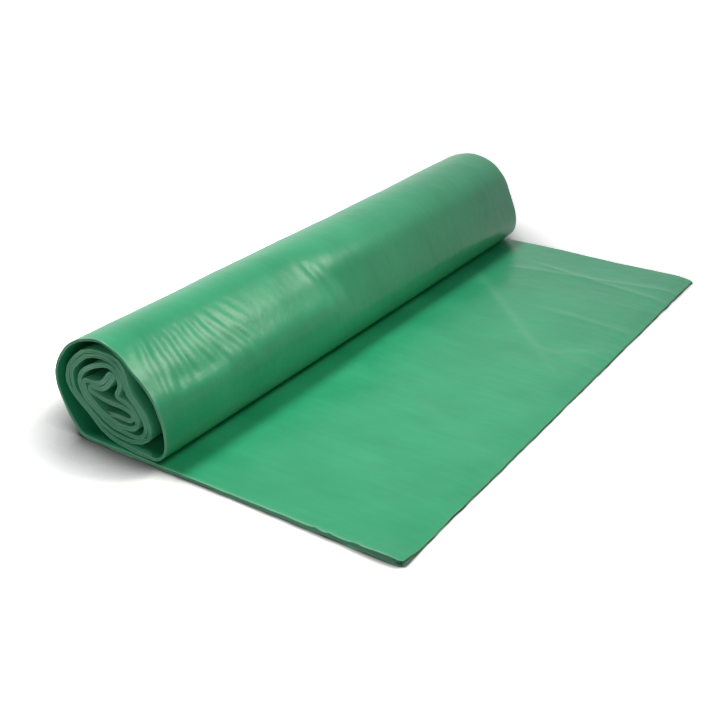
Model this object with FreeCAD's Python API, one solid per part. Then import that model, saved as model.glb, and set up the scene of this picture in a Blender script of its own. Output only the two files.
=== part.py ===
import FreeCAD, Part
import math
import os

# A coreless roll of bin bags, lying on its side with its tail unrolled in front.
# The roll is one web of flattened film. The web runs in from the free edge along
# the floor, passes under the roll, climbs its back, goes over the top and comes
# down the front as a loose outer wrap. It then curls under and winds on inside as
# a tight nest of turns, and ends in a core that has been crushed into folds.
# X runs along the roll, +Y to its back and +Z up. The section is drawn in Y and Z.

Vector = FreeCAD.Vector

# Driving dimensions in mm
roll_length = 350.0         # along the roll, which is the width of the web
tail_length = 125.0         # free edge to the front of the roll
wrap_width = 69.0           # outer wrap, front to back
wrap_height = 57.0          # outer wrap, floor to top
web_thickness = 1.8         # the flattened bag with all its plies
turn_gap = 0.7              # air between turns that lie on each other
nest_turns = 2              # tight turns inside the outer wrap
front_slack = 8.6           # air between the outer wrap and the nest, at the front
top_slack = 5.6             # the same at the top
back_slack = 1.2            # the same at the back
core_front_slack = 0.7      # air between the nest and the core, at the front
core_top_slack = 2.6        # the same at the top
core_back_slack = 2.4       # the same at the back
core_floor_slack = 1.6      # the same at the floor
end_drift = 4.0             # how far the inner turns have slid along the roll
foot_round = 4.0            # length of the bend taken up where the web leaves the floor
longest_round = 10.0        # the same for the widest bends
corner_radius = 5.0         # free corners of the tail

# Every bend takes up this share of the shorter run beside it
bend_share = 0.48

# The slid turns leave a mouth that takes up this share of the slack around them
mouth_share = 0.8

pitch = web_thickness + turn_gap
half = web_thickness / 2

# Corners of the outer wrap, as shares of its width and height
wrap_shares = (
    (0.828, 0.0),           # foot, where the web leaves the floor
    (1.015, 0.39),
    (0.99, 0.66),
    (0.80, 0.925),
    (0.50, 1.03),           # top
    (0.24, 0.90),
    (0.045, 0.50),
    (-0.015, 0.25),         # front
    (0.06, 0.0),            # curl under the front
)

# Corners of the nest, which has a dent in the upper front
nest_shares = (
    (0.15, 0.0),
    (0.60, 0.0),
    (1.02, 0.45),
    (1.00, 0.70),
    (0.77, 0.97),
    (0.53, 1.03),           # top
    (0.28, 0.98),
    (0.21, 0.65),           # dent
    (0.07, 0.50),
    (-0.03, 0.22),
)

# Corners of the core, one turn first and then the folds inside it
core_shares = (
    (0.57, 0.0),
    (0.93, 0.36),
    (1.00, 0.59),
    (0.93, 0.79),
    (0.70, 0.98),
    (0.50, 1.05),           # top
    (0.355, 0.97),
    (0.355, 0.73),
    (0.48, 0.54),           # notch under the dent
    (0.24, 0.53),
    (0.10, 0.37),
    (0.09, 0.20),
    (0.19, 0.08),           # second turn along the floor
    (0.54, 0.08),
    (0.86, 0.40),
    (0.92, 0.56),           # tip of the back fold
    (0.90, 0.67),
    (0.65, 0.66),
    (0.53, 0.92),           # tip of the upright fold
    (0.42, 0.88),
    (0.58, 0.59),
    (0.81, 0.545),          # tip of the return fold
    (0.81, 0.44),
    (0.62, 0.41),
    (0.31, 0.44),
    (0.155, 0.34),          # tip of the front fold
    (0.20, 0.22),
    (0.56, 0.22),           # inner end of the web
)


def placed(shape, front, back, low, high):
    """Corners of a shape given as shares of a box, set into that box."""
    return [Vector(0, front + across * (back - front), low + up * (high - low)) for across, up in shape]


def to_left(heading):
    """Direction a quarter turn to the left, which is inwards on every turn of the roll."""
    return Vector(0, -heading.z, heading.y)


def heading_of(start, end):
    return (end - start).normalize()


def side_lines(corners):
    """The sides of a closed outline, each as a place and a heading."""
    following = corners[1:] + corners[:1]
    return [(start, heading_of(start, end)) for start, end in zip(corners, following)]


def moved_in(line, distance):
    place, heading = line
    return place + to_left(heading) * distance, heading


def meeting(first, second):
    """Point where two lines cross."""
    place, heading = first
    other, across = second
    reach = (other - place).dot(to_left(across)) / heading.dot(to_left(across))
    return place + heading * reach


# The section's corners, from the free edge to the inner end

def wrap_corners():
    front = tail_length + half
    back = tail_length + wrap_width - half
    corners = placed(wrap_shares, front, back, half, wrap_height - half)
    corners[-1].z = nest_floor
    return corners


def nest_corners():
    return placed(nest_shares, nest_front, nest_back, nest_floor, nest_top)


def nest_spiral():
    """Corners of the nest's turns: each side lies a little further in than the one before."""
    sides = side_lines(nest_corners())
    step = pitch / len(sides)
    count = nest_turns * len(sides) + 1
    lines = [moved_in(sides[turn % len(sides)], step * turn) for turn in range(count)]
    return [meeting(line, following) for line, following in zip(lines, lines[1:])]


def core_corners():
    wound = pitch * nest_turns
    front = nest_front + wound + core_front_slack
    back = nest_back - wound - core_back_slack
    low = nest_floor + wound + core_floor_slack
    high = nest_top - wound - core_top_slack
    return placed(core_shares, front, back, low, high)


nest_floor = half + pitch
nest_front = tail_length + web_thickness + front_slack + half
nest_back = tail_length + wrap_width - web_thickness - back_slack - half
nest_top = wrap_height - web_thickness - top_slack - half


# The web as a band of constant thickness

def bend_length(before, corner, after, longest):
    shorter = min((corner - before).Length, (after - corner).Length)
    return min(bend_share * shorter, longest)


def web_runs(corners):
    """Straight runs and tangent arcs along the middle of the web.

    Each run is a list of places with the direction to the web's left there:
    two places for a straight run and three for an arc."""
    runs = []
    place = corners[0]
    longest = foot_round
    for before, corner, after in zip(corners, corners[1:], corners[2:]):
        coming = heading_of(before, corner)
        going = heading_of(corner, after)
        length = bend_length(before, corner, after, longest)
        longest = longest_round
        start = corner - coming * length
        end = corner + going * length
        runs.append([(place, to_left(coming)), (start, to_left(coming))])

        turn = math.atan2(to_left(coming).dot(going), coming.dot(going))
        radius = length / math.tan(turn / 2)
        centre = start + to_left(coming) * radius
        middle_heading = (coming + going).normalize()
        middle = centre - to_left(middle_heading) * radius
        runs.append([(start, to_left(coming)), (middle, to_left(middle_heading)), (end, to_left(going))])
        place = end
    last_heading = heading_of(corners[-2], corners[-1])
    runs.append([(place, to_left(last_heading)), (corners[-1], to_left(last_heading))])
    return runs


def face_edges(runs, shift):
    """One face of the web in section, at a distance to the left of its middle."""
    edges = []
    for run in runs:
        points = [place + left * shift for place, left in run]
        curve = Part.LineSegment(*points) if len(points) == 2 else Part.Arc(*points)
        edges.append(curve.toShape())
    return edges


def web_end(run_end):
    place, left = run_end
    return Part.LineSegment(place - left * half, place + left * half).toShape()


def web_section():
    runs = web_runs([Vector(0, 0, half)] + wrap_corners() + nest_spiral() + core_corners())
    edges = face_edges(runs, half) + face_edges(runs, -half)
    edges += [web_end(runs[0][0]), web_end(runs[-1][-1])]
    return Part.Face(Part.Wire(Part.__sortEdges__(edges)))


# The inner turns have slid along the roll

def collar(x, slack_share):
    """Outline around the nest, which takes up a share of the slack at the front and the top."""
    lines = []
    for place, heading in side_lines(nest_corners()):
        outward = to_left(heading) * -1
        slack = front_slack * max(0.0, -outward.y) + top_slack * max(0.0, outward.z)
        distance = half + turn_gap / 2 + slack_share * slack
        lines.append(moved_in((place, heading), -distance))
    corners = [meeting(line, following) for line, following in zip(lines, lines[1:] + lines[:1])]
    for corner in corners:
        corner.x = x
    return Part.makePolygon(corners + corners[:1])


def slid_block(x):
    """Space of the slid turns at one end of the roll, wide at x and narrow a drift further on."""
    return Part.makeLoft([collar(x, mouth_share), collar(x + end_drift, 0.0)], True, True)


def end_trim():
    """Everything past the web's far side but the turns that have slid out there."""
    reach = tail_length + wrap_width
    corner = Vector(roll_length, -wrap_width, -wrap_height)
    past_end = Part.makeBox(end_drift * 2, reach + 2 * wrap_width, 3 * wrap_height, corner)
    return past_end.cut(slid_block(roll_length))


def round_free_corners(roll):
    corners = [
        edge for edge in roll.Edges
        if edge.BoundBox.YMax < half and edge.BoundBox.ZLength > half
    ]
    return roll.makeFillet(corner_radius, corners)


def make_bag_roll():
    roll = web_section().extrude(Vector(roll_length + end_drift, 0, 0))
    roll = roll.cut(slid_block(0)).cut(end_trim())
    roll = round_free_corners(roll)
    return roll.Solids[0]


# The origin is the middle of the space that the roll covers on the floor

def centred(shape):
    box = shape.BoundBox
    shape.translate(Vector(-box.Center.x, -box.Center.y, -box.ZMin))
    return shape


os.makedirs("parts", exist_ok=True)
bag_roll = centred(make_bag_roll())
bag_roll.exportStep("parts/bag_roll.step")

size = bag_roll.BoundBox
print("bag_roll", round(size.XLength, 2), round(size.YLength, 2), round(size.ZLength, 2))
print("valid", bag_roll.isValid(), "volume cm3", round(bag_roll.Volume / 1000, 1), "faces", len(bag_roll.Faces))
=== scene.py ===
# %% [markdown]
# # A roll of bin bags
# This roll has no tube inside. It is one long web of flattened bags, wound up on itself
# and crushed a little in storage, and the first bag is pulled out in front like a tongue.
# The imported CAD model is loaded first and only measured, because every size of the
# visible model has to agree with it.

# %% Load the frame
import math
import bmesh
import bpy
from mathutils import Matrix, Vector, noise


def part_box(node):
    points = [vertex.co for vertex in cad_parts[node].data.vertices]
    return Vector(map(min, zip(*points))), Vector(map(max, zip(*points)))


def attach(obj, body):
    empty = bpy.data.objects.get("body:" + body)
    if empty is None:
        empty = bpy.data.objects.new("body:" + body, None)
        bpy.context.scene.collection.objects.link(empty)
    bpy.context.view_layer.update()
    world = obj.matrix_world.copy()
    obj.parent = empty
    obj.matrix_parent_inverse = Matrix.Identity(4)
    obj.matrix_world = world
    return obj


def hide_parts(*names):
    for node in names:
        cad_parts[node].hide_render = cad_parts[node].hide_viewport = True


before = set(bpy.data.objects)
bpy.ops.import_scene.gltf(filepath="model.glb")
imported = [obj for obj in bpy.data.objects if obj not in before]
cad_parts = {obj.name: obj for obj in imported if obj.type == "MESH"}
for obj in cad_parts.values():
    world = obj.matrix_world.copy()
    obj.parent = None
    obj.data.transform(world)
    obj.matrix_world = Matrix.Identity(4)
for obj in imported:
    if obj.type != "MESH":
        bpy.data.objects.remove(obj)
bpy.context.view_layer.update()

MM = 0.001
(near_end, tail_edge, _), (far_end, roll_back, _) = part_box("bag_roll")
print("roll from x", round(near_end, 4), "to", round(far_end, 4))

# %% [markdown]
# ## The camera
# A product photographer stands near one end of the roll and looks along it and down.
# Two angles say where the camera looks, and the lens follows from how much of the
# frame the roll fills. This comes first, so that every later step can be looked at
# from the place that matters most.

# %% Place the camera
camera_data = bpy.data.cameras.new("camera")
camera_data.lens = 54.7
camera_data.sensor_width = 36
camera = bpy.data.objects.new("camera", camera_data)
bpy.context.collection.objects.link(camera)
camera.location = Vector((-477.8, -278.2, 273.4)) * MM

look_down = math.radians(27.16)
look_aside = math.radians(33.79)
camera.rotation_euler = (math.radians(90) - look_down, 0, look_aside - math.radians(90))
bpy.context.scene.camera = camera
print("camera at", tuple(round(value, 3) for value in camera.location))

# %% [markdown]
# ## The web's corners
# Seen from the end, the web is one line. It runs in from the free edge along the floor,
# goes under the roll, up the back, over the top and down the front, then curls under
# and winds on inside as a nest of two tight turns. The last part, the core, was crushed
# into folds.
# The line is planned as a row of corners, given as shares of the box that each part of
# the winding fills. That is how one would trace it on squared paper, and it keeps the
# line together when a width or a height changes.

# %% Sizes of the winding
roll_length = 350 * MM
tail_length = 125 * MM          # from the free edge to the front of the roll
wrap_width = 69 * MM
wrap_height = 57 * MM
web_thickness = 1.8 * MM
turn_gap = 0.7 * MM             # air between turns that lie on each other
nest_turns = 2
half = web_thickness / 2
pitch = web_thickness + turn_gap

# Air between the outer wrap and the nest, and between the nest and the core
front_slack = 8.6 * MM
back_slack = 1.2 * MM
top_slack = 5.6 * MM
core_front_slack = 0.7 * MM
core_back_slack = 2.4 * MM
core_floor_slack = 1.6 * MM
core_top_slack = 2.6 * MM
print("each turn takes up mm:", round(pitch / MM, 1))

# %% Boxes for the wrap, the nest and the core
wrap_front = tail_edge + tail_length + half
wrap_back = roll_back - half
nest_front = wrap_front + web_thickness + front_slack
nest_back = wrap_back - web_thickness - back_slack
nest_floor = half + pitch
nest_top = wrap_height - web_thickness - top_slack - half
wound = pitch * nest_turns
core_front = nest_front + wound + core_front_slack
core_back = nest_back - wound - core_back_slack
core_floor = nest_floor + wound + core_floor_slack
core_top = nest_top - wound - core_top_slack
print("winding is", round((wrap_back - wrap_front + web_thickness) / MM, 1), "mm deep, planned for",
      round(wrap_width / MM, 1))

# %% Corners as shares of those boxes
wrap_shares = (
    (0.828, 0.0), (1.015, 0.39), (0.99, 0.66), (0.80, 0.925), (0.50, 1.03),
    (0.24, 0.90), (0.045, 0.50), (-0.015, 0.25), (0.06, 0.0),
)
nest_shares = (
    (0.15, 0.0), (0.60, 0.0), (1.02, 0.45), (1.00, 0.70), (0.77, 0.97),
    (0.53, 1.03), (0.28, 0.98), (0.21, 0.65), (0.07, 0.50), (-0.03, 0.22),
)
core_shares = (
    (0.57, 0.0), (0.93, 0.36), (1.00, 0.59), (0.93, 0.79), (0.70, 0.98), (0.50, 1.05),
    (0.33, 0.96), (0.32, 0.72), (0.43, 0.56), (0.24, 0.53), (0.10, 0.37), (0.09, 0.20),
    (0.19, 0.08), (0.54, 0.08), (0.86, 0.40), (0.92, 0.56), (0.89, 0.66), (0.63, 0.66),
    (0.45, 0.94), (0.405, 0.89), (0.58, 0.60), (0.81, 0.585), (0.82, 0.51), (0.62, 0.41),
    (0.31, 0.44), (0.155, 0.34), (0.20, 0.22), (0.56, 0.22),
)


def placed(shares, front, back, low, high):
    """Corners in the plane of the roll's end, as (y, z)."""
    return [
        Vector((front + across * (back - front), low + up * (high - low)))
        for across, up in shares
    ]


wrap_corners = placed(wrap_shares, wrap_front, wrap_back, half, wrap_height - half)
wrap_corners[-1].y = nest_floor
nest_outline = placed(nest_shares, nest_front, nest_back, nest_floor, nest_top)
core_corners = placed(core_shares, core_front, core_back, core_floor, core_top)
print("corners of the wrap, the nest and the core:",
      len(wrap_corners), len(nest_outline), len(core_corners))

# %% [markdown]
# ## Winding the nest
# A spiral that follows a dented outline can't be drawn with a circle's formula. Instead
# the sides of the outline are taken one after another, and each is moved a little
# further in than the one before. Where two neighbours cross is the next corner. After one
# round the web has moved in by one pitch, which is its thickness and the air on it.

# %% Wind the nest and join the parts


def sides(outline):
    """The sides of a closed outline, each as a place and a heading."""
    ends = outline[1:] + outline[:1]
    return [(start, (end - start).normalized()) for start, end in zip(outline, ends)]


def meeting(first, second):
    """Where two lines cross."""
    place, heading = first
    other, across = second
    left = across.orthogonal()
    return place + heading * ((other - place).dot(left) / heading.dot(left))


def wound_up(outline, turns):
    """Corners of the turns: each side lies a little further in than the one before."""
    closed = sides(outline)
    lines = []
    for count in range(turns * len(closed) + 1):
        place, heading = closed[count % len(closed)]
        lines.append((place + heading.orthogonal() * (pitch * count / len(closed)), heading))
    return [meeting(line, following) for line, following in zip(lines, lines[1:])]


nest_corners = wound_up(nest_outline, nest_turns)
corners = [Vector((tail_edge, half))] + wrap_corners + nest_corners + core_corners
print("corners of the line:", len(corners))

# %% [markdown]
# ## Drawing the line
# A wire bender knows two moves, a straight feed and a bend round a pin. The line is
# drawn in the same way: a vertex is extruded along each straight run, and spun round
# the centre of each bend. Both leave short edges behind, fine on the bag and the
# outer wrap, where creases need them, and coarse on the turns inside.

# %% Two moves of a wire bender
fine_step = 2.4 * MM
coarse_step = 7 * MM
fine_turn = math.radians(12)
coarse_turn = math.radians(24)


def fed(line, vert, reach, step):
    """Extrudes the line straight on, in edges no longer than step."""
    count = max(1, math.ceil(reach.length / step))
    for _ in range(count):
        vert = bmesh.ops.extrude_vert_indiv(line, verts=[vert])["verts"][0]
        vert.co += Vector((0, reach.x, reach.y)) / count
    return vert


def bent(line, vert, centre, angle, radius, step, finest):
    """Spins the line round a pin, with at least two edges to each bend."""
    count = max(2, math.ceil(abs(angle * radius) / step), math.ceil(abs(angle) / finest))
    spun = bmesh.ops.spin(
        line, geom=[vert], cent=(near_end, centre.x, centre.y), axis=(1, 0, 0), dvec=(0, 0, 0),
        angle=angle, steps=count, use_merge=False, use_normal_flip=False, use_duplicate=False,
    )
    return spun["geom_last"][0]


print("edges in mm, outside and inside:", round(fine_step / MM, 1), round(coarse_step / MM, 1))

# %% Draw the line
foot_bend = 4 * MM              # length of the bend where the web leaves the floor
longest_bend = 10 * MM          # no other bend takes up more than this to each side
bend_share = 0.48               # nor more than this share of the shorter run beside it

# The layers come first, because bmesh lets go of the vertices it has when one is added
web = bmesh.new()
run_key = web.verts.layers.float.new("run")
along_key = web.verts.layers.float.new("along")
depth_key = web.verts.layers.float.new("depth")
# The last layer holds how pale the film is: whitening of creases, painted highlights and painted
# light
wear_and_painted_light_key = web.verts.layers.float.new("wear_and_painted_light")

pen = web.verts.new((near_end, corners[0].x, corners[0].y))
place = corners[0]
stations = [pen]
longest = foot_bend
for number, (before, corner, after) in enumerate(zip(corners, corners[1:], corners[2:]), start=1):
    outer = number <= len(wrap_corners)
    step = fine_step if outer else coarse_step
    finest = fine_turn if outer else coarse_turn
    coming = (corner - before).normalized()
    going = (after - corner).normalized()
    shorter_run = min((corner - before).length, (after - corner).length)
    tangent = min(bend_share * shorter_run, longest)
    longest = longest_bend
    turn = -coming.angle_signed(going)
    radius = tangent / math.tan(turn / 2)
    start = corner - coming * tangent
    pen = fed(web, pen, start - place, step)
    pen = bent(web, pen, start + coming.orthogonal() * radius, turn, radius, step, finest)
    stations.append(pen)
    place = corner + going * tangent
pen = fed(web, pen, corners[-1] - place, coarse_step)
stations.append(pen)
print("edges in the line:", len(web.edges), "ends off by mm",
      round((Vector(pen.co.yz) - corners[-1]).length / MM, 4))

# %% [markdown]
# ## The distance along the web
# Later steps need to know where on the web a point is: creases, folds and the film's
# streaks all follow it, however it is wound. So each vertex keeps its distance from
# the free edge. It is measured once, by walking down the line.

# %% Measure along the line
vert = stations[0]
walked = None
while True:
    onward = [edge for edge in vert.link_edges if edge is not walked]
    if not onward:
        break
    walked = onward[0]
    following = walked.other_vert(vert)
    following[run_key] = vert[run_key] + walked.calc_length()
    vert = following

# The last bend of the wrap is the curl, and the nest and the core follow it
curl_station = len(wrap_corners)
core_station = curl_station + len(nest_corners) + 1
bend_runs = [vert[run_key] for vert in stations]
roll_run = bend_runs[1]
curl_run = bend_runs[curl_station]
nest_run = bend_runs[curl_station + 1]
core_run = bend_runs[core_station]
web_run = bend_runs[-1]
print("web length in mm:", round(web_run / MM, 1), "outer wrap ends at", round(curl_run / MM, 1))

# %% [markdown]
# ## Pulling the line into film
# Film leaves the extruder as wide as the die, so the line is extruded once along the
# roll. Loop cuts then divide it. The turns inside need few, because only their ends
# show. The bag and the outer wrap get seven times as many, for their creases.
# The cuts are then drawn closer together towards both ends, where the layers show.
# Extruding leaves the new edges and faces in an order that changes from run to run, so the
# mesh is sorted by place on the web, and the script makes the same mesh each time.

# %% Extrude and divide
coarse_columns = 36
fine_cuts = 6
crowding = 0.45                 # 0 spaces the cuts evenly, 1 closes them up at the ends


def across(bm, last_run):
    """Edges that run along the roll, as far down the web as last_run."""
    return [
        edge for edge in bm.edges
        if abs(edge.verts[0][along_key] - edge.verts[1][along_key]) > 1e-6
        and edge.verts[0][run_key] <= last_run
    ]


def sort_mesh(bm):
    """Puts vertices, edges and faces in a fixed order, by their place on the web."""
    def on_web(vert):
        return round(vert[run_key], 6), round(vert[along_key], 6), round(vert[depth_key], 3)

    def by_corners(part):
        return sorted(vert.index for vert in part.verts)

    for sequence, place_of in ((bm.verts, on_web), (bm.edges, by_corners), (bm.faces, by_corners)):
        for number, part in enumerate(sorted(sequence, key=place_of)):
            part.index = number
        sequence.sort()


pulled = bmesh.ops.extrude_edge_only(web, edges=web.edges[:])
far_verts = [item for item in pulled["geom"] if isinstance(item, bmesh.types.BMVert)]
bmesh.ops.translate(web, verts=far_verts, vec=(roll_length, 0, 0))
for vert in far_verts:
    vert[along_key] = 1.0
sort_mesh(web)

bmesh.ops.subdivide_edges(
    web, edges=across(web, web_run), cuts=coarse_columns - 1, use_grid_fill=True)
bmesh.ops.subdivide_edges(
    web, edges=across(web, curl_run), cuts=fine_cuts, use_grid_fill=True)
for vert in web.verts:
    share = vert[along_key]
    share -= crowding * math.sin(2 * math.pi * share) / (2 * math.pi)
    vert[along_key] = share * roll_length
    vert.co.x = near_end + vert[along_key]
web.normal_update()
print("faces before the film gets its thickness:", len(web.faces))

# %% [markdown]
# ## The slid turns
# A roll that was pulled about is never flush. The turns inside have slid along by a few
# millimetres, back from the near end and out of the far end. The slide starts where the
# web curls in under the front and is complete a little further in. The edges also wander
# a little, because the web was not guided well when it was wound.

# %% Slide the inner turns
end_drift = 4 * MM
slide_lead = 8 * MM             # the slide starts this far before the curl
ragged_from = 190               # mm down the web, where the edges start to wander more
ragged_over = 60


def smooth(value):
    """From 0 to 1 with a soft start and a soft end."""
    value = min(1.0, max(0.0, value))
    return value * value * (3 - 2 * value)


def wander(x, y=0.0, seed=0.0):
    """Smooth noise from -1 to 1 that repeats every run of the script."""
    return noise.noise(Vector((x, y, seed)))


for vert in web.verts:
    run = vert[run_key] / MM
    past_start = vert[run_key] - curl_run + slide_lead
    slide = end_drift * smooth(past_start / (nest_run - curl_run + slide_lead))
    wound_in = smooth((run - ragged_from) / ragged_over)
    vert.co.x += slide + (0.3 + 0.6 * wound_in) * wander(run / 11, seed=3.1) * MM
print("inner turns slid by mm:", round(end_drift / MM, 1))

# %% [markdown]
# ## Creases in the outer wrap
# Film that is wound by hand keeps every dent. Here the front of the wrap has been pressed
# flat towards the near end, and fine ripples run across that flat, as in any film that is
# shortened on one side. Past the flat a few sharp creases lead over to the rounder part.
# Each of these is a small height over the web, given by the distance along the roll and
# the distance down the web. Sculpting would do as well, but numbers can be read and kept.
# The lengths in these functions are in millimetres: along the roll from its near end,
# down the web from its free edge, or up from the web. The last number that wander gets is
# a seed, so that no two of its patterns are alike.

# %% Bumps and soft windows


def bell(value, middle, width):
    """1 in the middle of a bump, and almost nothing two widths away."""
    return math.exp(-((value - middle) / width) ** 2)


def between(value, start, end, soft):
    """1 between start and end, with soft sides."""
    return smooth((value - start) / soft + 0.5) * smooth((end - value) / soft + 0.5)


print("a bump, one and two widths from its middle:", round(bell(1, 0, 1), 2), round(bell(2, 0, 1), 2))

# %% The pressed front and its ripples
hollow_run = 276                # the middle of the pressed flat
fold_run = 301                  # the firm edge under it
ripple_length = 8
ripple_height = 0.27


def flat_front(along, run):
    """The pressed front: hollow above, and a firm edge where it turns down."""
    reach = between(along, -20, 140, 30)
    rounder = between(along, 160, 400, 40)
    pressed = 1.7 * bell(run, fold_run, 9) - 2.0 * bell(run, hollow_run, 12)
    return reach * pressed + rounder * 1.5 * bell(run, 283, 14)


def ripples(along, run):
    """Short waves across the flat, which fan out along the roll."""
    lean = 0.012 * (along - 30)
    slanted = along - lean * (run - 280) + 2.0 * wander(along / 15, run / 16, 7.7)
    window = between(along, 8, 78, 14) * between(run, 269, 300, 9)
    wave = math.sin(2 * math.pi * slanted / ripple_length)
    fade = 0.8 + 0.6 * wander(along / 16, run / 10, 1.3)
    return window * ripple_height * wave * fade


def wedge(along, run):
    """A small dent across the firm edge, with a low lip under it."""
    middle = 295.5 + 0.07 * (along - 30)
    lip = 0.15 * between(along, 30, 54, 12) * bell(run, middle + 6, 2.8)
    return lip - 0.6 * between(along, 16, 50, 12) * bell(run, middle, 4.2)


print("the front is pressed in by mm:", round(-flat_front(60, hollow_run), 2))

# %% Sharp creases and slack film
wrap_creases = (
    # distance along the roll, middle down the web, lean and height
    (131, 281, 0.10, 0.55),
    (137, 287, 0.22, -0.75),
    (142, 288, 0.16, 0.6),
    (149, 290, 0.3, -0.45),
)
crease_width = 2.4


def sharp_creases(along, run):
    """Creases that run down the front where the flat ends."""
    height = 0.0
    for place, middle, lean, size in wrap_creases:
        distance = abs(along - place - lean * (run - middle))
        window = between(run, middle - 13, middle + 12, 10)
        height += size * math.exp(-distance / crease_width) * window
    return height


def slack_film(along, run):
    """Wide, low waves all over the wrap."""
    broad = 0.45 * wander(along / 46, run / 30, 4.4) + 0.16 * wander(along / 15, run / 24, 8.8)
    return broad * between(run, 205, 318, 24)


print("sharp creases in the wrap:", len(wrap_creases))

# %% Move the wrap's points, and note where the film whitens and where highlights are painted
creased_from = 200
creased_to = 322
fade_in = 14

moved_most = 0.0
for vert in web.verts:
    run = vert[run_key] / MM
    if not creased_from - fade_in < run < creased_to + fade_in:
        continue
    along = vert[along_key] / MM
    height = flat_front(along, run) + ripples(along, run) + wedge(along, run)
    height += sharp_creases(along, run) + slack_film(along, run)
    height *= between(run, creased_from, creased_to, fade_in)
    vert.co -= vert.normal * height * MM
    # Paler on the crease ridges, as whitening and a painted highlight, and on the ripple crests, as a
    # painted highlight
    vert[wear_and_painted_light_key] = max(0.0, sharp_creases(along, run), ripples(along, run))
    moved_most = max(moved_most, abs(height))
print("highest crease in the wrap:", round(moved_most, 2), "mm")

# %% [markdown]
# ## Creases in the flat bag
# The bag in front was unrolled and let go, so it lies on the floor with soft waves and a
# few long creases where it was folded before it was wound. A crease is a ridge between
# two places on the web. The free corners are rounded by drawing the points near them in
# to a quarter circle, which keeps the grid of faces whole.

# %% Heights over the flat bag
bag_creases = (
    # from and to, each as (along, run), with height and width
    ((284, 120), (188, 24), 0.9, 2.4),
    ((318, 92), (304, 0), 0.6, 3.4),
    ((255, 54), (251, -4), 0.5, 3.0),
    ((205, 34), (198, -4), 0.4, 3.0),
    ((205, 28), (226, 2), 0.3, 3.0),
    ((304, 108), (323, 0), 0.5, 3.6),
    ((120, 70), (84, -4), 0.2, 6.0),
    ((60, 60), (30, 20), 0.18, 7.0),
)


def crease_height(along, run, start, end, size, width):
    """A ridge between two places, which fades out at both."""
    line = Vector(end) - Vector(start)
    offset = Vector((along, run)) - Vector(start)
    share = offset.dot(line) / line.length_squared
    distance = abs(offset.cross(line)) / line.length
    return size * math.exp(-distance / width) * between(share, 0.0, 1.0, 0.4)


def creased(along, run):
    """All the creases of the bag together."""
    return sum(crease_height(along, run, *crease) for crease in bag_creases)


def bag_height(along, run):
    """Everything that lifts the top of the bag, lower at its free edge."""
    height = 0.5 * smooth(0.5 + 0.9 * wander(along / 60, run / 42, 2.2))
    height += 0.14 * wander(along / 17, run / 13, 5.5) + creased(along, run)
    return max(0.0, height) * between(run, -20, 112, 20) * (1 - 0.6 * bell(run, 0, 7))


print("the long crease is high in mm:", round(creased(236, 72), 2))

# %% Lift the bag and round its corners
corner_round = 2.5 * MM
# The creases are paler, partly as whitening of the bent film and partly as a painted highlight along
# their ridges
crease_whitening_and_highlight = 0.6               # the bag's creases show paler by this share of their height

for vert in web.verts:
    run = vert[run_key]
    if run > tail_length:
        continue
    along = vert[along_key]
    vert.co.z += bag_height(along / MM, run / MM) * MM
    # Paler along the creases: whitening and a painted highlight
    vert[wear_and_painted_light_key] = crease_whitening_and_highlight * creased(along / MM, run / MM)
    vert.co.y += 0.25 * MM * wander(along / MM / 30, seed=9.2) * bell(run / MM, 0, 12)
    side = min(along, roll_length - along)
    into_x = 1 - side / corner_round
    into_y = 1 - run / corner_round
    if into_x > 0 and into_y > 0:
        kept_share = max(into_x, into_y) / math.hypot(into_x, into_y)
        towards_middle = 1 if along < roll_length / 2 else -1
        vert.co.x += towards_middle * corner_round * into_x * (1 - kept_share)
        vert.co.y += corner_round * into_y * (1 - kept_share)
web.normal_update()
print("highest point of the bag in mm:",
      round(max(vert.co.z for vert in web.verts if vert[run_key] < tail_length) / MM, 2))

# %% [markdown]
# ## Thickness
# The flattened bags are several plies of film, so the web is thicker than one sheet.
# Solidify gives it that, half to each side of the line. Then each part gets its own edge.
# The ends of the inner turns have sprung apart and are painted paler, as light that falls into
# the pockets, those of the core most. The very edge of the wrap and the bag gets a painted highlight.
# The rim of the outer wrap was held together by the turns outside it and is thinner, and
# so is the free edge, where the bags were sealed. The underside of the flat bag goes back
# down to the floor, because the waves in it are air between its plies.

# %% Give the film its thickness
splay = 0.3 * MM                # how far an end springs out, or is pressed in
splay_reach = 7 * MM            # how far along the roll that fades out
core_looseness = 1.7            # the core's ends are this many times as loose
painted_pocket_light = 0.6                    # how much paler the ends of the inner turns are painted, as light falling into the pockets
painted_pocket_reach = 9 * MM
painted_rim_highlight = 1.4                 # how strong the painted highlight on the very edge of the wrap and the bag is
painted_rim_reach = 0.8 * MM
seal_step = 1.0 * MM            # how much thinner the sealed edge is
seal_width = 6                  # and how far from it that fades out, in mm

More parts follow.
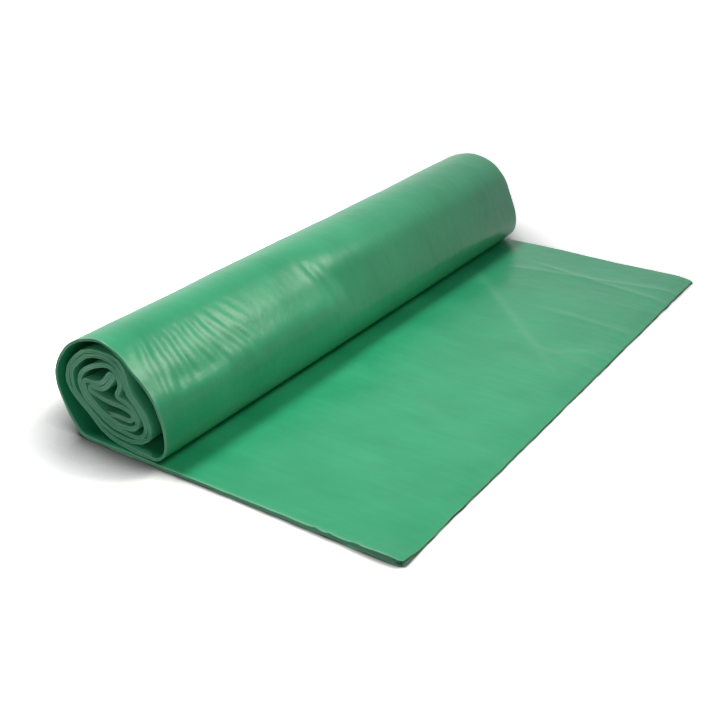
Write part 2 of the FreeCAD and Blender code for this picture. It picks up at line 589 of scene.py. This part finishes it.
for vert in web.verts:
    vert.co += vert.normal * half
upper_shell = set(web.verts)
bmesh.ops.solidify(web, geom=web.faces[:], thickness=web_thickness)
web.normal_update()
for vert in web.verts:
    vert[depth_key] = 0.0 if vert in upper_shell else 1.0
    from_end = min(vert[along_key], roll_length - vert[along_key])
    if vert[run_key] > curl_run:
        looser = 1.0 if vert[run_key] < core_run else core_looseness
        vert.co += vert.normal * looser * splay * math.exp(-from_end / splay_reach)
        # Painted light: the inner turns are paler near the ends, where light falls into the pockets
        vert[wear_and_painted_light_key] = painted_pocket_light * looser * math.exp(-from_end / painted_pocket_reach)
        continue
    # Painted highlight along the very edge of the wrap and the bag
    vert[wear_and_painted_light_key] += painted_rim_highlight * math.exp(-from_end / painted_rim_reach)
    if vert[run_key] > roll_run:
        vert.co -= vert.normal * splay * math.exp(-from_end / splay_reach)
    elif vert in upper_shell:
        vert.co.z -= seal_step * bell(vert[run_key] / MM, 0, seal_width)
    elif vert[run_key] < tail_length:
        vert.co.z -= bag_height(vert[along_key] / MM, vert[run_key] / MM) * MM
sort_mesh(web)
print("open edges:", sum(1 for edge in web.edges if not edge.is_manifold),
      "volume in cm3:", round(web.calc_volume(signed=True) / 1e-6, 1))

# %% [markdown]
# ## The edges of the plies
# Where the web was cut, its edge shows the plies that it is folded from. The rim is
# divided across its thickness, and its loops are pushed in and out by a short profile,
# which leaves rounded plies with grooves between them. How far each ply stands out
# wanders along the edge. At the near corner of the bag the groove under the top ply is
# deep, and that ply has lifted off the others. A few nicks lift the edge beside it.

# %% Groove the rim
# How far each loop stands out in mm, from the top of the web to its underside
rim_profile = (-0.4, 0.0, -0.15, -0.8, -0.2, -0.8, -0.15, 0.0, -0.1)
last_loop = len(rim_profile) - 1
top_ply_loops = 3
corner_groove = 4.0
at_edge = 0.01                  # a point this close to an edge, in mm, lies on it

rim = [edge for edge in web.edges if abs(edge.verts[0][depth_key] - edge.verts[1][depth_key]) > 0.5]
bmesh.ops.subdivide_edges(web, edges=rim, cuts=last_loop - 1, use_grid_fill=True)

rim_verts = {
    vert for edge in web.edges for vert in edge.verts
    if edge.verts[0][depth_key] != edge.verts[1][depth_key]
}
for vert in rim_verts:
    along = vert[along_key] / MM
    run = vert[run_key] / MM
    loop = round(vert[depth_key] * last_loop)
    ply = loop // top_ply_loops
    push = rim_profile[loop] + 0.35 * wander(run / 7 + along / 9, ply * 2.7, 11.0)
    if loop == top_ply_loops:
        push -= corner_groove * bell(math.hypot(along / 8, run / 22), 0, 1)
    if along < at_edge:
        vert.co.x -= push * MM
    elif along > roll_length / MM - at_edge:
        vert.co.x += push * MM
    if run < at_edge:
        vert.co.y -= push * MM
    elif run > web_run / MM - at_edge:
        vert.co.y += push * MM
print("loops across the rim:", len(rim_profile), "rim vertices:", len(rim_verts))

# %% Lift the top ply at the near corner
corner_lift = 1.8
nick_lift = 0.8
nick_runs = (22.5, 35.2, 42.4)
lifted_run = 70
# The loops of the top ply are lifted all the way, and the groove under it by less
lift_shares = (1.0, 1.0, 1.0, 0.45)

for vert in web.verts:
    along = vert[along_key] / MM
    run = vert[run_key] / MM
    loop = round(vert[depth_key] * last_loop)
    if run > lifted_run or loop >= len(lift_shares):
        continue
    lift = corner_lift * bell(math.hypot(along / 9, run / 24), 0, 1)
    lift += sum(nick_lift * bell(run, nick, 1.6) for nick in nick_runs) * bell(along, 0, 1.5)
    vert.co.z += lift_shares[loop] * lift * MM
sort_mesh(web)
web.normal_update()
print("the near corner is lifted by mm:", corner_lift)

# %% [markdown]
# ## The piece
# The finished bmesh becomes a mesh with smooth shading, on an object at the origin. It
# rides on the roll's only body and takes the place of the plain CAD solid. Its four layers
# stay on the mesh as attributes, where the material can read them.

# %% Keep the mesh as a piece


def kept(bm, name):
    """Turns a bmesh into a piece of the scene."""
    mesh = bpy.data.meshes.new(name)
    bm.to_mesh(mesh)
    bm.free()
    for face in mesh.polygons:
        face.use_smooth = True
    piece = bpy.data.objects.new(name, mesh)
    bpy.context.collection.objects.link(piece)
    print(name, "has", sum(len(face.vertices) - 2 for face in mesh.polygons), "triangles")
    return piece


bag_web = kept(web, "bag_web")
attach(bag_web, "root")
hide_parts("bag_roll")

# %% [markdown]
# ## The film
# The bags are blown polyethylene film, dyed green all the way through. The die leaves faint
# streaks that run down the web, the dye is never quite even, and the film takes fine
# crinkles as it is wound. All of these follow the web and not the room, so the textures
# read the distances that the mesh has kept: along the roll, down the web and through it.
# Each scale is the size of one feature in millimetres, turned into features per metre.

# %% Helpers for materials


def colour(hex_code):
    """Linear colour from an sRGB hex code."""
    channels = [int(hex_code[start:start + 2], 16) / 255 for start in (1, 3, 5)]
    linear = [c / 12.92 if c <= 0.04045 else ((c + 0.055) / 1.055) ** 2.4 for c in channels]
    return (*linear, 1.0)


def add_node(tree, kind, settings=None, links=None):
    """Adds a node with its settings, and its links as input to output of another node."""
    node = tree.nodes.new(kind)
    for name, value in (settings or {}).items():
        if name in node.inputs:
            node.inputs[name].default_value = value
        else:
            setattr(node, name, value)
    for name, output in (links or {}).items():
        tree.links.new(output, node.inputs[name])
    return node


def per_metre(size_in_mm):
    """Features per metre, from the size of one."""
    return 1000 / size_in_mm


print("the film's green in linear light:", [round(value, 3) for value in colour("#239A6B")[:3]])

# %% Distances on the web
film = bpy.data.materials.new("blown_polyethylene_film")
film.use_nodes = True
film_tree = film.node_tree
film_shader = film_tree.nodes["Principled BSDF"]

along_web = add_node(film_tree, "ShaderNodeAttribute", {"attribute_name": "along"})
down_web = add_node(film_tree, "ShaderNodeAttribute", {"attribute_name": "run"})
through_web = add_node(film_tree, "ShaderNodeAttribute", {"attribute_name": "depth"})
on_web = add_node(film_tree, "ShaderNodeCombineXYZ", links={
    "X": along_web.outputs["Fac"], "Y": down_web.outputs["Fac"], "Z": through_web.outputs["Fac"],
})
print("the film reads", [node.attribute_name for node in (along_web, down_web, through_web)])

# %% Patterns that follow the web
film_patterns = (
    # size of one feature along the roll and down the web in mm, and detail
    ("clouds", 26, 40, 3),
    ("streaks", 3.5, 32, 3),
    ("crinkle", 8, 12, 3),
    # The real grain is finer, and this is as coarse as it needs to be to show
    ("grain", 1.2, 3.0, 1),
)
pattern = {}
for name, width_mm, length_mm, detail in film_patterns:
    stretched = add_node(
        film_tree, "ShaderNodeVectorMath", {"operation": "MULTIPLY"}, {0: on_web.outputs[0]})
    stretched.inputs[1].default_value = (per_metre(width_mm), per_metre(length_mm), 1.0)
    noise_node = add_node(
        film_tree, "ShaderNodeTexNoise", {"Scale": 1.0, "Detail": detail},
        {"Vector": stretched.outputs[0]})
    pattern[name] = noise_node.outputs["Fac"]
print("patterns on the film:", list(pattern))

# %% Dye: green all through, a little lighter in clouds and streaks
dye = add_node(film_tree, "ShaderNodeValToRGB", links={"Fac": pattern["clouds"]})
dye.color_ramp.elements[0].position = 0.3
dye.color_ramp.elements[0].color = colour("#239A6B")
dye.color_ramp.elements[1].position = 0.7
dye.color_ramp.elements[1].color = colour("#30A474")
streak_value = add_node(film_tree, "ShaderNodeMapRange", {
    "From Min": 0.3, "From Max": 0.7, "To Min": 0.96, "To Max": 1.04,
}, {"Value": pattern["streaks"]})
streaked = add_node(film_tree, "ShaderNodeHueSaturation", links={
    "Color": dye.outputs[0], "Value": streak_value.outputs[0],
})
print("colours in the dye:", len(dye.color_ramp.elements))

# %% [markdown]
# ## Where the film is pale, and where light is painted
# Polyethylene turns pale where it is bent sharply, because tiny gaps in it scatter the light,
# and that shows on the creases. The same pale colour is also painted where light falls. The
# depth through the web runs from 0 to 1 on a cut edge, so a sine of it gives one pale crest
# for each ply: a painted highlight on each rounded ply. The attribute written on the mesh
# while the creases and the ends were made holds the rest: whitening and a painted highlight
# on the crease ridges, a painted highlight on the ripple crests and along the very edge of
# the wrap and the bag, and painted light near the ends of the inner turns, where light falls
# into the pockets. The stronger of the two mixes the pale colour in.

# %% Painted highlights on the plies, and whitening and painted light from the mesh
plies = 3
# How strong the painted highlight on each ply's crest is, and how pale the mesh's whitening and
# painted light make the film
painted_ply_highlight = 0.45
wear_and_painted_light_paleness = 0.3

# Painted highlight: one pale crest on each rounded ply of a cut edge
across_plies = add_node(
    film_tree, "ShaderNodeMath", {"operation": "MULTIPLY"}, {0: through_web.outputs["Fac"]})
across_plies.inputs[1].default_value = plies * math.pi
waves = add_node(film_tree, "ShaderNodeMath", {"operation": "SINE"}, {0: across_plies.outputs[0]})
crests = add_node(film_tree, "ShaderNodeMath", {"operation": "ABSOLUTE"}, {0: waves.outputs[0]})
paler = add_node(film_tree, "ShaderNodeMath", {"operation": "MULTIPLY"}, {0: crests.outputs[0]})
paler.inputs[1].default_value = painted_ply_highlight

# Whitening of the creases, together with painted highlights and painted light, as written on the mesh
wear_and_painted_light = add_node(film_tree, "ShaderNodeAttribute", {"attribute_name": "wear_and_painted_light"})
pale_wear_and_light = add_node(film_tree, "ShaderNodeMath", {"operation": "MULTIPLY"}, {0: wear_and_painted_light.outputs["Fac"]})
pale_wear_and_light.inputs[1].default_value = wear_and_painted_light_paleness
palest = add_node(film_tree, "ShaderNodeMath", {"operation": "MAXIMUM"}, {
    0: paler.outputs[0], 1: pale_wear_and_light.outputs[0],
})
edged = add_node(film_tree, "ShaderNodeMix", {"data_type": "RGBA"}, {
    0: palest.outputs[0], 6: streaked.outputs[0],
})
# The pale colour of whitened film, also used for the painted highlights and the painted light
edged.inputs[7].default_value = colour("#8FC9A9")
print("plies on the edge:", plies)

# %% Film material: blown and dyed polyethylene, a satin skin with crinkles
# Solid polyethylene has an IOR of 1.5. The skin of blown film is uneven and mirrors less,
# which a lower IOR and a middling roughness give. The lighter clouds are a little duller.
crinkled = add_node(
    film_tree, "ShaderNodeBump", {"Distance": 0.25 * MM}, {"Height": pattern["crinkle"]})
grained = add_node(film_tree, "ShaderNodeBump", {"Distance": 0.02 * MM}, {
    "Height": pattern["grain"], "Normal": crinkled.outputs[0],
})
dullness = add_node(film_tree, "ShaderNodeMapRange", {
    "From Min": 0.3, "From Max": 0.7, "To Min": 0.30, "To Max": 0.36,
}, {"Value": pattern["clouds"]})

film_tree.links.new(edged.outputs[2], film_shader.inputs["Base Color"])
film_tree.links.new(dullness.outputs[0], film_shader.inputs["Roughness"])
film_tree.links.new(grained.outputs[0], film_shader.inputs["Normal"])
film_shader.inputs["IOR"].default_value = 1.43
bag_web.data.materials.append(film)
print("film nodes:", len(film_tree.nodes))

# %% [markdown]
# ## The floor
# The roll lies on a sheet of white paper. The sheet is a hair lower than the web, so that
# the two never share a plane. A wide soft lamp leaves a dark seam where a thing touches
# the paper, and ambient occlusion with a gamma draws that seam. White on the picture comes
# from the paper's own colour, which is above 1 because the lamps are set for the film.
# Light Path lets the paper throw less light back up than it shows, and that keeps the gaps
# between the layers dark.

# %% Floor
floor_reach = 3.0
floor_gap = 0.02 * MM

floor_mesh = bmesh.new()
bmesh.ops.create_grid(floor_mesh, x_segments=1, y_segments=1, size=floor_reach)
floor = kept(floor_mesh, "floor")
floor.data.transform(Matrix.Translation((0, 0, -floor_gap)))

# %% Paper material: matt white paper, with a dark seam under the roll
seam_reach = 45 * MM


def seen_directly(tree):
    """1 for what the camera sees, also in gloss and through clear film, 0 for scattered light."""
    path = add_node(tree, "ShaderNodeLightPath")
    straight = add_node(tree, "ShaderNodeMath", {"operation": "ADD"}, {
        0: path.outputs["Is Camera Ray"], 1: path.outputs["Is Glossy Ray"],
    })
    return add_node(tree, "ShaderNodeMath", {"operation": "ADD", "use_clamp": True}, {
        0: straight.outputs[0], 1: path.outputs["Is Transmission Ray"],
    }).outputs[0]


paper = bpy.data.materials.new("white_paper")
paper.use_nodes = True
paper_tree = paper.node_tree
paper_tree.nodes.remove(paper_tree.nodes["Principled BSDF"])
contact = add_node(paper_tree, "ShaderNodeAmbientOcclusion", {
    "samples": 16, "Distance": seam_reach, "Color": (1.16, 1.16, 1.16, 1),
})
darker = add_node(paper_tree, "ShaderNodeGamma", {"Gamma": 3.6}, {"Color": contact.outputs["Color"]})
shown_paper = add_node(paper_tree, "ShaderNodeBsdfDiffuse", links={"Color": darker.outputs[0]})
dim_paper = add_node(paper_tree, "ShaderNodeBsdfDiffuse", {"Color": (0.45, 0.45, 0.45, 1)})
mixed_paper = add_node(paper_tree, "ShaderNodeMixShader", links={
    0: seen_directly(paper_tree), 1: dim_paper.outputs[0], 2: shown_paper.outputs[0],
})
paper_output = paper_tree.nodes["Material Output"]
paper_tree.links.new(mixed_paper.outputs[0], paper_output.inputs["Surface"])
floor.data.materials.append(paper)
print("paper nodes:", len(paper_tree.nodes))

# %% [markdown]
# ## The room
# The room is dim, and a little brighter above than at the floor, so that the lamps do most
# of the work and the shadows stay. The camera sees plain white instead, as it would on an
# endless sheet of paper.

# %% World
floor_light = 0.04
ceiling_light = 0.10

world = bpy.data.worlds.new("studio")
bpy.context.scene.world = world
world.use_nodes = True
room = world.node_tree
direction = add_node(room, "ShaderNodeTexCoord")
upward = add_node(room, "ShaderNodeSeparateXYZ", links={0: direction.outputs["Generated"]})
brightness = add_node(room, "ShaderNodeMapRange", {
    "interpolation_type": "SMOOTHSTEP", "From Max": 0.9,
    "To Min": floor_light, "To Max": ceiling_light,
}, {"Value": upward.outputs["Z"]})
ceiling = room.nodes["Background"]
ceiling.inputs["Color"].default_value = (1, 1, 1, 1)
room.links.new(brightness.outputs[0], ceiling.inputs["Strength"])
backdrop = add_node(room, "ShaderNodeBackground", {"Color": (1, 1, 1, 1)})
seen_world = add_node(room, "ShaderNodeMixShader", links={
    0: seen_directly(room), 1: ceiling.outputs[0], 2: backdrop.outputs[0],
})
room.links.new(seen_world.outputs[0], room.nodes["World Output"].inputs["Surface"])
print("room nodes:", len(room.nodes))

# %% [markdown]
# ## The lamps
# Four lamps light the roll. The main one hangs overhead and a little behind, so that the
# roll throws a soft strip of shadow on the bag in front of it. A weak one shines into the
# near end and shows the layers. A small one over the near end brightens the roll there,
# and a slightly warm one stands in front, past the far end, where the pressed flat mirrors
# it towards the camera as a long highlight. The first two are suns, which light everything
# from one direction, and the other two are spots, which light one place.

# %% Lamps


def add_lamp(name, kind, place, target=(0, 0, 0)):
    """A lamp at one place that shines at another."""
    data = bpy.data.lights.new(name, kind)
    lamp = bpy.data.objects.new(name, data)
    bpy.context.collection.objects.link(lamp)
    lamp.location = place
    lamp.rotation_euler = (Vector(place) - Vector(target)).to_track_quat("Z", "Y").to_euler()
    return data


overhead = add_lamp("overhead_lamp", "SUN", (0.05, 0.42, 1.0))
overhead.angle = math.radians(16)
overhead.energy = 1.7

end_light = add_lamp("end_lamp", "SUN", (-1.0, -0.4, 0.35))
end_light.angle = math.radians(20)
end_light.energy = 0.4

near = add_lamp("near_lamp", "SPOT", (-0.17, 0.30, 0.62), (-0.16, -0.02, 0.0))
near.spot_size = math.radians(62)
near.spot_blend = 1.0
near.shadow_soft_size = 0.08
near.energy = 2.9

front = add_lamp("front_lamp", "SPOT", (0.25, -0.23, 0.52), (-0.17, 0.03, 0.03))
front.spot_size = math.radians(50)
front.spot_blend = 1.0
front.shadow_soft_size = 0.14
front.energy = 9.3
front.color = (1.0, 0.99, 0.86)

bpy.context.scene.view_settings.view_transform = "Standard"
print("lamps:", [(lamp.name, round(lamp.energy, 1)) for lamp in (overhead, end_light, near, front)])
